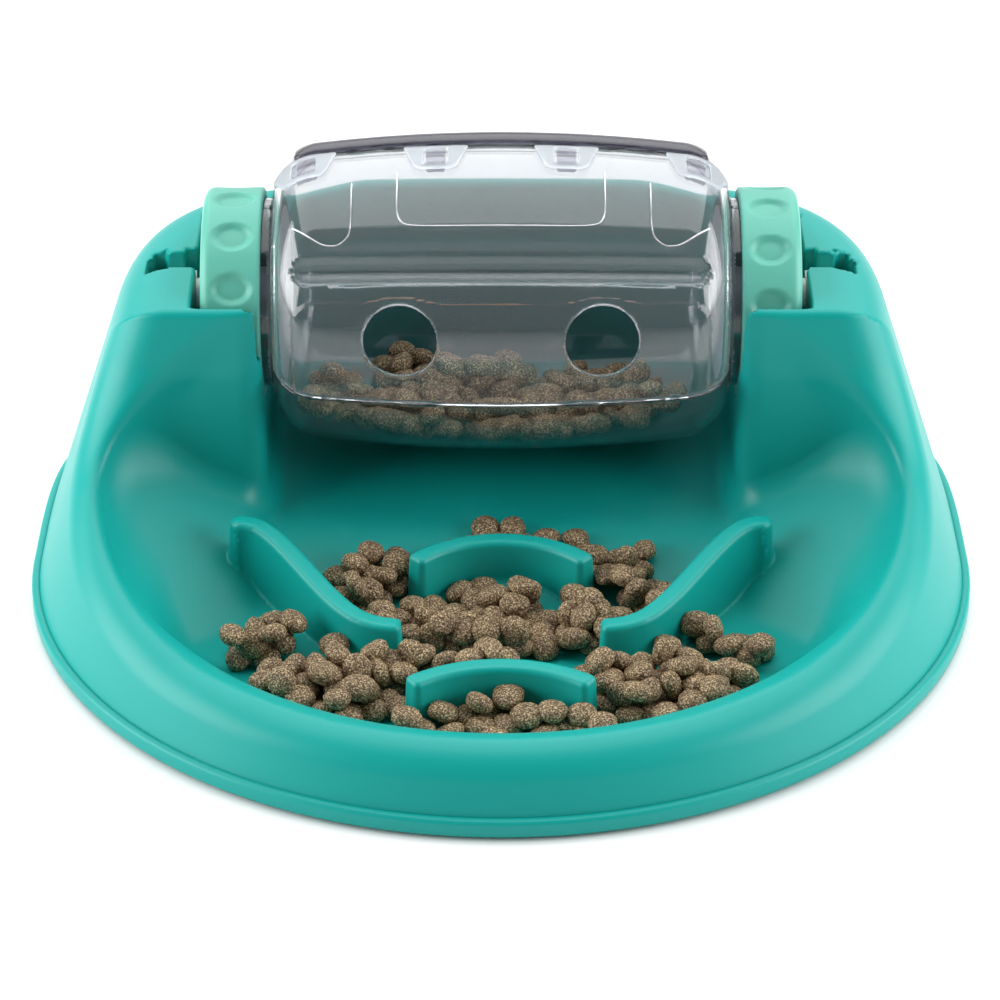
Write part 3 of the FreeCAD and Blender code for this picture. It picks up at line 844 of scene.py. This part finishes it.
def tab_solid(centre):
    """A tab on the drum's face, narrower at its front, with a window."""
    lean = math.hypot(TAB_BACK_HALF - TAB_FRONT_HALF, 2 * TAB_REACH)

    def solid(x, y, z):
        x = x - centre
        back = turned(y, z, TAB_ANGLE)[1]
        skin = barrel(x + centre, y, z)
        side = ((np.abs(x) - TAB_FRONT_HALF) * 2 * TAB_REACH
                - (back + TAB_REACH) * (TAB_BACK_HALF - TAB_FRONT_HALF)) / lean
        outline = rounded_max(rounded_max(side, -TAB_REACH - back, 3), back - TAB_REACH, 0.8)
        pad = rounded_max(rounded_max(skin - TAB_RAISE, outline, 0.6), -window(x, back), 0.3)
        return np.maximum(pad, -skin)
    return solid


def under_skin(skin, depths):
    """Negative between two depths below the drum's face."""
    return np.maximum(skin + depths[0], -skin - depths[1])


def hook_solid(x, y, z):
    """Spring fingers under the windows, each with a barb that rises into its window."""
    back = turned(y, z, TAB_ANGLE)[1]
    skin = barrel(x, y, z)
    across = np.min([np.abs(x - centre) for centre in HOOK_X], axis=0) - FINGER_HALF
    across = rounded_max(across, np.abs(back - FINGER_MIDDLE) - FINGER_LENGTH_HALF, 0.8)
    arm = under_skin(skin, ARM_DEPTHS)
    root = np.maximum(under_skin(skin, ROOT_DEPTHS), ROOT_START - back)
    teeth = np.minimum(np.abs(back + 2.6) - 1.2, np.abs(back - 3.4) - 0.6)
    barb = np.maximum(under_skin(skin, BARB_DEPTHS), teeth)
    return rounded_max(np.minimum(arm, np.minimum(root, barb)), across, 0.4)


def rail_solid(x, y, z):
    """The rail along the upper seam: a real strip, coloured dark as painted shade for the dark band of the
    thick seam flange seen edge-on.
    """
    back = turned(y, z, RAIL_ANGLE)[1]
    skin = barrel(x, y, z)
    outline = rounded_max(np.abs(x) - RAIL_HALF, np.abs(back) - RAIL_REACH, 3)
    return np.maximum(rounded_max(skin - RAIL_RAISE, outline, 0.8), -skin)


def add_latches(frosted, smoke_painted_shade, hooks):
    top = AXLE_Z + DRUM_RADIUS + 2
    for number, centre in enumerate(TAB_X, 1):
        low, high = (centre - 13, -15, AXLE_Z + 38), (centre + 13, 5, top)
        add_solid("latch_pad_%d" % number, tab_solid(centre), low, high, TAB_STEP, frosted,
                  "lid", ["latch_tab_%d" % number])
    add_solid("latch_fingers", hook_solid, (-71, -12, AXLE_Z + 34), (71, 13, top), LATCH_STEP, hooks,
              "drum", ["latch_hooks"])
    low, high = (-RAIL_HALF - 1, -1, AXLE_Z + 40), (RAIL_HALF + 1, 20, top)
    add_solid("seam_rail", rail_solid, low, high, LATCH_STEP, smoke_painted_shade, "drum",
              ["top_rail"])


# ------------------------------------------------------------- mould lines on the lid
BEAD = 0.28
BEAD_SIDES = 6
MIDDLE_LINE = [(-35.5, 78), (-35.5, 56), (-33.5, 52), (-28, 51), (28, 51), (33.5, 52), (35.5, 56),
               (35.5, 78)]
OUTER_LINE = [(51, 74), (51, 48), (55.5, 44), (61, 44.5), (72, 54)]


def barrel_radius(x):
    """Radius of the barrel's outer face at a distance along the axle."""
    radius = DRUM_RADIUS
    for _ in range(12):
        radius -= float(barrel(x, 0, AXLE_Z + radius))
    return radius


def add_witness_line(name, route, clear, body):
    """A hair-thin raised mould line along (x, angle in degrees) points on the lid's face."""
    x, angle = np.array(route, float).T
    t = np.linspace(0, len(x) - 1, 10 * (len(x) - 1) + 1)
    x = blurred(np.interp(t, np.arange(len(x)), x), 2.5)
    angle = np.radians(blurred(np.interp(t, np.arange(len(angle)), angle), 2.5))
    radius = np.array([barrel_radius(v) for v in x])
    line = np.stack([x, -radius * np.cos(angle), AXLE_Z + radius * np.sin(angle)], 1)
    along = np.gradient(line, axis=0)
    along /= np.linalg.norm(along, axis=1)[:, None]
    out = np.stack([0 * x, -np.cos(angle), np.sin(angle)], 1)
    side = np.cross(along, out)
    side /= np.linalg.norm(side, axis=1)[:, None]
    outward = np.cross(side, along)
    turns = np.linspace(0, 2 * math.pi, BEAD_SIDES, endpoint=False)
    rings = [line + BEAD * (math.cos(t) * side + 0.7 * math.sin(t) * outward) for t in turns]
    points = np.stack(rings, 1).reshape(-1, 3)
    faces = []
    for i in range(len(line) - 1):
        for k in range(BEAD_SIDES):
            here, ahead = i * BEAD_SIDES, (i + 1) * BEAD_SIDES
            n = (k + 1) % BEAD_SIDES
            faces.append((here + k, here + n, ahead + n, ahead + k))
    add_mesh(name, points, np.array(faces), None, clear, body)


def add_mould_lines(clear):
    add_witness_line("mould_line_middle", MIDDLE_LINE, clear, "lid")
    for side, name in ((-1, "left"), (1, "right")):
        route = [(side * x, angle) for x, angle in OUTER_LINE]
        add_witness_line("mould_line_%s" % name, route, clear, "lid")


# ------------------------------------------------------------- grip rings
RING_RADIUS = 36.9
RING_BORE = 33.0
RING_X = (82.7, 103.4)
RING_FACE = 3.0
RING_HOLE = 9.0
DIMPLES = 12
DIMPLE_HALF = (7.0, 5.5)
DIMPLE_DEPTH = 1.7
DIMPLE_X = 92.4
RING_STEP = 1.0
RING_PHASES = ((1, "right", 20.2), (-1, "left", 28.5))


def ring_solid(side, phase_deg):
    """A grip ring: a cup with oval finger dimples and a hole for the axle pin."""
    def solid(x, y, z):
        x = x * side
        radius = np.hypot(y, z - AXLE_Z)
        pitch = 2 * math.pi / DIMPLES
        turn = np.arctan2(z - AXLE_Z, -y) - math.radians(phase_deg) + pitch / 2
        across = RING_RADIUS * (np.mod(turn, pitch) - pitch / 2)
        oval = np.hypot((x - DIMPLE_X) / DIMPLE_HALF[0], across / DIMPLE_HALF[1])
        skin = radius - RING_RADIUS + DIMPLE_DEPTH * (1 - smoothstep(oval, 0.62, 1.12))
        ring = rounded_max(skin, x - RING_X[1], 3.6)
        ring = rounded_max(ring, RING_X[0] - x, 1.0)
        bore = np.maximum(radius - RING_BORE, x - RING_X[1] + RING_FACE)
        ring = rounded_max(ring, -bore, 0.4)
        return rounded_max(ring, RING_HOLE - radius, 0.8)
    return solid


def add_rings(mint):
    reach = RING_RADIUS + 1
    for side, name, phase in RING_PHASES:
        ends = sorted((side * (RING_X[0] - 1), side * (RING_X[1] + 1)))
        low, high = (ends[0], -reach, AXLE_Z - reach), (ends[1], reach, AXLE_Z + reach)
        add_solid("ring_%s_moulding" % name, ring_solid(side, phase), low, high, RING_STEP, mint,
                  "ring_" + name, ["grip_ring_" + name])


# ------------------------------------------------------------- kibble
KIBBLE_RADIUS = 5.3
KIBBLE_THICK = 3.1
GRAIN = 4.0
COIN_POWER = 2.5
STRIDES = (1.6,) * 5 + (0.8,) * 3 + (0.4,)
NEIGHBOURHOOD = 32
TRIES_PER_GRAIN = 4
DIRECTIONS = 12
NESTING = 0.8  # share of a hard ball's height at which a grain lies on another one
LEAST_FALL = 0.05
FLAT_TILT = 0.5
HEAPED_TILT = 1.5
BOWL_REACH = 128
BARREL_FLOOR = 52.0
BARREL_BEND = 0.0022
HEAP_HALF_X = 68
HEAP_HALF_Y = 38


def kibble_shape(random, turns=14, bands=8):
    """One lumpy puffed disc: unit directions pushed to a rounded-coin shape."""
    lon = np.linspace(0, 2 * math.pi, turns, endpoint=False)
    lat = np.linspace(-math.pi / 2, math.pi / 2, bands + 1)[1:-1]
    middle = [(math.cos(b) * math.cos(a), math.cos(b) * math.sin(a), math.sin(b)) for b in lat for a in lon]
    spots = np.array([(0, 0, -1)] + middle + [(0, 0, 1)])
    faces = []
    rows = len(lat)
    for k in range(turns):
        n = (k + 1) % turns
        faces.append((0, 1 + n, 1 + k, 1 + k))
        for j in range(rows - 1):
            a, b = 1 + j * turns, 1 + (j + 1) * turns
            faces.append((a + k, a + n, b + n, b + k))
        last = 1 + (rows - 1) * turns
        faces.append((last + k, last + n, len(spots) - 1, len(spots) - 1))
    flat = np.hypot(spots[:, 0], spots[:, 1])
    reach = 1 / (flat ** COIN_POWER + np.abs(spots[:, 2]) ** COIN_POWER) ** (1 / COIN_POWER)
    halves = np.array([KIBBLE_RADIUS, KIBBLE_RADIUS * random.uniform(0.86, 1.0), KIBBLE_THICK])
    shape = spots * reach[:, None] * halves
    for _ in range(3):
        pull = random.normal(size=3)
        wave = np.sin(spots @ pull * 2.2 + random.uniform(0, 6))
        shape *= (1 + 0.04 * wave)[:, None]
    return shape * random.uniform(0.9, 1.08), faces


def random_turn(random, tilt):
    """A rotation: any heading, tipped over by up to the given angle."""
    heading = random.uniform(0, 2 * math.pi)
    lean = random.uniform(0, tilt)
    spin = random.uniform(0, 2 * math.pi)

    def about_z(a):
        return np.array([[math.cos(a), -math.sin(a), 0], [math.sin(a), math.cos(a), 0], [0, 0, 1]])
    tip = np.array([[1, 0, 0], [0, math.cos(lean), -math.sin(lean)], [0, math.sin(lean), math.cos(lean)]])
    return about_z(heading) @ tip @ about_z(spin)


def drop(centres, floor, x, y):
    """Rests one grain: it falls at (x, y) and rolls downhill over the floor and other grains."""
    placed = np.array(centres) if centres else np.zeros((0, 3))

    def height(px, py):
        ground = floor(px, py)
        for cx, cy, cz in placed:
            gap = (2 * GRAIN) ** 2 - (px - cx) ** 2 - (py - cy) ** 2
            above = cz + np.sqrt(np.maximum(gap, 0)) * NESTING
            ground = np.where(gap > 0, np.maximum(ground, above), ground)
        return ground
    if len(placed):
        near = np.hypot(placed[:, 0] - x, placed[:, 1] - y) < NEIGHBOURHOOD
        placed = placed[near]
    turns = np.linspace(0, 2 * math.pi, DIRECTIONS, endpoint=False)
    level = float(height(np.array([x]), np.array([y]))[0])
    for stride in STRIDES:
        px, py = x + stride * np.cos(turns), y + stride * np.sin(turns)
        around = height(px, py)
        best = int(np.argmin(around))
        if around[best] < level - LEAST_FALL:
            x, y, level = px[best], py[best], float(around[best])
    return x, y, level


def pile(name, random, grounds, body, crust):
    """Grains dropped over regions; each region is (floor, centre, half sizes, count, highest)."""
    points, faces = [], []
    total = 0
    for floor, centre, half, count, highest in grounds:
        centres = []
        tries = 0
        while len(centres) < count and tries < count * TRIES_PER_GRAIN:
            tries += 1
            turn, out = random.uniform(0, 2 * math.pi), math.sqrt(random.uniform())
            x = centre[0] + half[0] * out * math.cos(turn)
            y = centre[1] + half[1] * out * math.sin(turn)
            x, y, z = drop(centres, floor, x, y)
            if z < highest:
                centres.append((x, y, z))
        for x, y, z in centres:
            shape, quads = kibble_shape(random)
            resting = z - float(floor(np.array([x]), np.array([y]))[0]) < 1.0
            shape = shape @ random_turn(random, FLAT_TILT if resting else HEAPED_TILT).T
            lift = KIBBLE_THICK - GRAIN if resting else 0
            points.append(shape + np.array([x, y, z + lift]))
            faces.append(np.array(quads) + total)
            total += len(shape)
    polygons = [tuple(dict.fromkeys(face)) for face in np.concatenate(faces).tolist()]
    add_piece(name, np.concatenate(points), polygons, crust, body)


def bowl_ground(x, y):
    """Height at which a grain's centre rests in the bowl, raised steeply by ridges and walls."""
    ground = FLOOR(x, y) + GRAIN
    for route in RIDGE_ROUTES:
        across = route(x, y)[0]
        ground = ground + 12 * np.maximum(RIDGE_HALF + GRAIN - across, 0)
    wall = np.hypot(x, y - CENTRE_Y) - BOWL_REACH + GRAIN
    return ground + 3 * np.maximum(wall, 0)


def drum_ground(x, y):
    """Height at which a grain's centre rests on the drum's wall."""
    inner = BARREL_FLOOR - BARREL_BEND * x ** 2 - GRAIN
    low = AXLE_Z - np.sqrt(np.maximum(inner ** 2 - y ** 2, 1))
    past = np.maximum(np.abs(x) - HEAP_HALF_X, 0), np.maximum(np.abs(y) - HEAP_HALF_Y, 0)
    return low + 6 * past[0] + 6 * past[1]


def add_food(crust):
    random = np.random.default_rng(5)
    grounds = [(bowl_ground, (-60, -132), (31, 24), 58, 22),
               (bowl_ground, (61, -132), (29, 24), 52, 22),
               (bowl_ground, (0, -112), (44, 30), 78, 23),
               (bowl_ground, (0, -157), (38, 9), 22, 20),
               (bowl_ground, (-44, -82), (15, 26), 26, 27),
               (bowl_ground, (44, -82), (15, 26), 24, 27),
               (bowl_ground, (0, -57), (34, 5), 11, 34)]
    pile("kibble_bowl", random, grounds, "base", crust)
    pile("kibble_drum", random, [(drum_ground, (0, -6), (70, 34), 150, AXLE_Z - 20)], "axle_pins",
         crust)


# ------------------------------------------------------------- the scene
add_camera()
add_studio()
add_floor()
teal = moulded_plastic("teal_plastic", (0.003, 0.34, 0.305), (0.005, 0.37, 0.33), 0.38)
mint = moulded_plastic("mint_plastic", (0.12, 0.47, 0.37), (0.14, 0.50, 0.40), 0.34)
rubber = moulded_plastic("foot_rubber", (0.014, 0.017, 0.018), (0.02, 0.023, 0.024), 0.7, 0.8)
acetal = moulded_plastic("pin_acetal", (0.55, 0.57, 0.54), (0.6, 0.62, 0.6), 0.4)
clear = clear_plastic("clear_plastic", (0.90, 0.91, 0.93), (0.82, 0.84, 0.86), 0.03, 0.035)
# The back wall is the same clear plastic as the front wall, only in a darker colour: painted shade for the
# dark under and behind the drum.
clear_back_painted_shade = clear_plastic("clear_back_plastic", (0.56, 0.59, 0.61), (0.30, 0.32, 0.34), 0.03)
# The seam rail's dark smoky colour is painted shade: it stands in for the dark band the thick seam flange
# shows edge-on.
smoke_painted_shade = clear_plastic("smoke_plastic", (0.15, 0.15, 0.2), (0.25, 0.25, 0.3), 0.16, 0.12)
frosted = clear_plastic("frosted_plastic", (0.66, 0.69, 0.72), (0.7, 0.72, 0.75), 0.5, 0.12)
hook_grey = moulded_plastic("hook_grey", (0.20, 0.20, 0.25), (0.23, 0.23, 0.28), 0.35)
crust = kibble_crust("kibble_crust")
add_base(teal)
add_ridges(teal)
add_lip(teal)
add_drum(clear, clear_back_painted_shade)
add_latches(frosted, smoke_painted_shade, hook_grey)
add_mould_lines(clear)
add_rings(mint)
add_food(crust)

# Nodes of the frame that stay as they are get only a material.
kept_looks = {"foot_pad": rubber, "axle_pin": acetal, "end_hub": frosted}
for name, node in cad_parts.items():
    for start, look in kept_looks.items():
        if name.startswith(start):
            node.data.materials.clear()
            node.data.materials.append(look)
